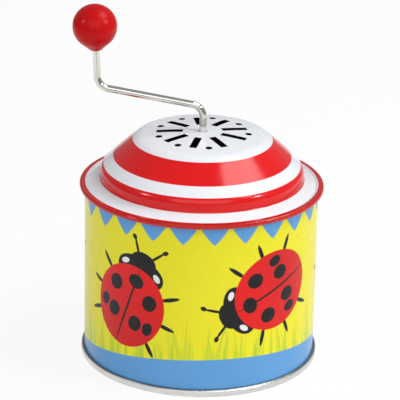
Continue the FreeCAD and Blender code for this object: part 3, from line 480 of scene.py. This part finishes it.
lid_print, tree, shader = new_finish("ringed_lid")
east, north, height = millimetres(tree)
reach = from_axis(tree, east, north)
shaded_rim = span(tree, reach, *edge_at(RED_RIM_RADIUS))
rings = []
for low, high in RED_RINGS:
    rings.append(calc(tree, "MULTIPLY", span(tree, height, *edge_at(low)),
                      fade(tree, height, *edge_at(high))))
red = blend_colours(tree, speckle(tree, LID_RED_BLOTCHES, detail=4), LID_RED, LID_RED_DEEP)
white = blend_colours(tree, speckle(tree, LID_WHITE_BLOTCHES, detail=4), LID_WHITE, LID_WHITE_WARM)
normal = add(tree, "NewGeometry").outputs["True Normal"]
slope = calc(tree, "ABSOLUTE", add(tree, "SeparateXYZ", {0: normal}).outputs[2])
on_cap = calc(tree, "MULTIPLY",
              fade(tree, reach, PUNCHED_RADIUS - INK_EDGE, PUNCHED_RADIUS),
              span(tree, height, PUNCHED_HEIGHT - INK_EDGE, PUNCHED_HEIGHT))
raw_edge = calc(tree, "MULTIPLY", fade(tree, slope, *PUNCHED_SLOPE), on_cap)
# painted shade: the lid's inner skin takes the dark inside colour
from_middle = add(tree, "VectorMath", {0: own_place(tree), 1: CAN_MIDDLE}, operation="SUBTRACT")
inward = calc(tree, "LESS_THAN", skin_side(tree, normal, from_middle.outputs[0]), 0.0)
shaded_inside = calc(tree, "MULTIPLY", inward, calc(tree, "LESS_THAN", reach, SHADED_INSIDE_RADIUS))
ink = blend_colours(tree, any_of(tree, rings), white, red)
# painted shade: the rim takes the darker red
ink = blend_colours(tree, shaded_rim, ink, RIM_RED_PAINTED_SHADE)
ink = blend_colours(tree, raw_edge, ink, TIN_SHADE)
paint(tree, shader, blend_colours(tree, shaded_inside, ink, INSIDE_PAINTED_SHADE))
feed(tree, shader.inputs["Metallic"], calc(tree, "MAXIMUM", raw_edge, shaded_inside))
vary_gloss(tree, shader, speckle(tree, LID_DULL_SPOTS, detail=4), LID_ROUGHNESS)
shader.inputs["Specular IOR Level"].default_value = LID_GLOSS
raise_by(tree, shader, speckle(tree, LID_WAVES, detail=2), LID_WAVE_DEPTH)
dress(["lid"], lid_print)

# Crank: one length of drawn steel wire, bent twice and nickel plated.
# The drawing leaves long faint lines, and the plating is a little milky.
NICKEL = (0.80, 0.78, 0.73, 1)
NICKEL_SHADE = (0.66, 0.635, 0.585, 1)
DRAWN_LINES = 2600
DRAWN_STRETCH = (0.03, 1, 0.03)
DRAWN_DEPTH = 0.0000008
NICKEL_DULL_SPOTS = 300
NICKEL_ROUGHNESS = (0.07, 0.13)

nickel, tree, shader = new_finish("nickel_wire")
lines = speckle(tree, DRAWN_LINES, detail=2, stretch=DRAWN_STRETCH)
paint(tree, shader, blend_colours(tree, span(tree, lines, *NOISE_MIDDLE), NICKEL, NICKEL_SHADE))
shader.inputs["Metallic"].default_value = 1.0
vary_gloss(tree, shader, speckle(tree, NICKEL_DULL_SPOTS, detail=4), NICKEL_ROUGHNESS)
raise_by(tree, shader, lines, DRAWN_DEPTH)
dress(["crank_wire"], nickel)

# Ball: moulded in red plastic, drawn in to a neck, and snapped on the wire, where it turns.
# The gloss is deep and even, and a faint line runs round the ball
# where the two halves of the mould met.
BALL_RED = (0.59, 0.006, 0.006, 1)
BALL_RED_DEEP = (0.49, 0.004, 0.005, 1)
BALL_BLOTCHES = 150
BALL_CENTRE = sum(Vector(corner)[0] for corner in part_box("knob")) / 2
PARTING_RED = (0.45, 0.004, 0.004, 1)
PARTING_HALF = 0.00026
PARTING_RISE = 0.00002
BALL_DULL_SPOTS = 260
BALL_ROUGHNESS = (0.24, 0.28)
BALL_GLOSS = 0.12
BALL_BUMPS = 180

ball_paint, tree, shader = new_finish("ball_gloss")
sideways = add(tree, "SeparateXYZ", {0: own_place(tree)}).outputs[0]
off_line = calc(tree, "ABSOLUTE", calc(tree, "SUBTRACT", sideways, BALL_CENTRE))
parting = fade(tree, off_line, 0.0, PARTING_HALF)
red = blend_colours(tree, speckle(tree, BALL_BLOTCHES, detail=4), BALL_RED, BALL_RED_DEEP)
paint(tree, shader, blend_colours(tree, parting, red, PARTING_RED))
vary_gloss(tree, shader, speckle(tree, BALL_DULL_SPOTS), BALL_ROUGHNESS)
shader.inputs["Specular IOR Level"].default_value = BALL_GLOSS
peel = calc(tree, "MULTIPLY", speckle(tree, BALL_BUMPS, detail=1), LACQUER_PEEL)
raise_by(tree, shader, calc(tree, "MULTIPLY_ADD", parting, PARTING_RISE, peel), 1.0)
dress(["knob"], ball_paint)

# Table and light: a broad sheet that the camera sees white all over, and that bright metal sees
# white only near the tin. A soft box stands high on the right, with a small lamp at each side
# and a broad fill from the front, in a room of even grey.
SHEET_SIZE = 40.0
SHEET_CORNERS = ((-1, -1), (1, -1), (1, 1), (-1, 1))
SHEET_WHITE = (0.92, 0.92, 0.92, 1)
SHEET_GREY = (0.30, 0.29, 0.28, 1)
SHEET_ROUGHNESS = 0.9
SHEET_GLOSS = 0.1
SHEET_SHINE = 0.88
SHEET_FRONT = (-0.42, -0.26)
SHEET_SIDE = (0.34, 0.55)
ROOM_WHITE = (0.95, 0.965, 1.0, 1)
ROOM_STRENGTH = 0.355
# Each lamp's name, place, size and power.
LAMPS = (("soft_box", (0.56, -0.02, 1.0), (0.72, 0.5), 5.8),
         ("right_lamp", (0.93, -0.36, 0.67), (0.12, 0.12), 3.4),
         ("left_lamp", (-0.96, -0.37, 0.62), (0.12, 0.12), 1.5),
         ("front_fill", (0.0, -1.5, 0.9), (2.0, 1.3), 10.4))
LAMP_AIM = Vector((0, 0, 0.07))

sheet_mesh = bpy.data.meshes.new("sheet")
half = SHEET_SIZE / 2
corners = [(half * east, half * north, 0) for east, north in SHEET_CORNERS]
sheet_mesh.from_pydata(corners, [], [(0, 1, 2, 3)])
sheet = bpy.data.objects.new("sheet", sheet_mesh)
bpy.context.scene.collection.objects.link(sheet)
sheet_white, tree, shader = new_finish("white_sheet")
spread = add(tree, "SeparateXYZ", {0: own_place(tree)})
paper = calc(tree, "MULTIPLY", span(tree, spread.outputs[1], *SHEET_FRONT),
             fade(tree, calc(tree, "ABSOLUTE", spread.outputs[0]), *SHEET_SIDE))
paint(tree, shader, blend_colours(tree, paper, SHEET_GREY, SHEET_WHITE))
shader.inputs["Roughness"].default_value = SHEET_ROUGHNESS
shader.inputs["Specular IOR Level"].default_value = SHEET_GLOSS
shine = add(tree, "Emission", {"Strength": 1.0})
ray = add(tree, "LightPath")
mirrored = any_of(tree, [ray.outputs["Is Glossy Ray"], ray.outputs["Is Transmission Ray"]])
seen = any_of(tree, [ray.outputs["Is Camera Ray"], calc(tree, "MULTIPLY", mirrored, paper)])
share = calc(tree, "MULTIPLY", seen, SHEET_SHINE)
shown = add(tree, "MixShader", {0: share, 1: shader.outputs[0], 2: shine.outputs[0]})
feed(tree, tree.nodes["Material Output"].inputs["Surface"], shown.outputs[0])
sheet_mesh.materials.append(sheet_white)

room = bpy.data.worlds.new("studio")
bpy.context.scene.world = room
room.use_nodes = True
room.node_tree.nodes["Background"].inputs["Color"].default_value = ROOM_WHITE
room.node_tree.nodes["Background"].inputs["Strength"].default_value = ROOM_STRENGTH

for name, place, (width, depth), power in LAMPS:
    lamp = bpy.data.lights.new(name, "AREA")
    lamp.shape = "RECTANGLE"
    lamp.size, lamp.size_y = width, depth
    lamp.energy = power
    holder = bpy.data.objects.new(name, lamp)
    holder.location = place
    holder.rotation_euler = (LAMP_AIM - Vector(place)).to_track_quat("-Z", "Y").to_euler()
    bpy.context.scene.collection.objects.link(holder)

# Camera: a long lens on a stand a little above the tin, square to the gap
# between the two front ladybirds. The stand leans by about a degree,
# and the tin stands a little to the right of the middle.
CAMERA_LENS = 216.0
CAMERA_DISTANCE = 0.8475
CAMERA_RISE = math.radians(20.93)
CAMERA_ROLL = math.radians(1.2)
CAMERA_AIM = Vector((0, 0, 0.0569))
FRAME_SIDE = 400
AIM_PIXEL = 201.4

camera = bpy.data.objects.new("camera", bpy.data.cameras.new("camera"))
bpy.context.scene.collection.objects.link(camera)
camera.data.lens = CAMERA_LENS
camera.data.shift_x = (FRAME_SIDE / 2 - AIM_PIXEL) / FRAME_SIDE
back = Vector((0, -math.cos(CAMERA_RISE), math.sin(CAMERA_RISE)))
camera.location = CAMERA_AIM + back * CAMERA_DISTANCE
upright = Euler((math.pi / 2 - CAMERA_RISE, 0, 0)).to_matrix()
camera.rotation_euler = (upright @ Matrix.Rotation(CAMERA_ROLL, 3, "Z")).to_euler()
bpy.context.scene.camera = camera
bpy.context.scene.view_settings.view_transform = "Standard"
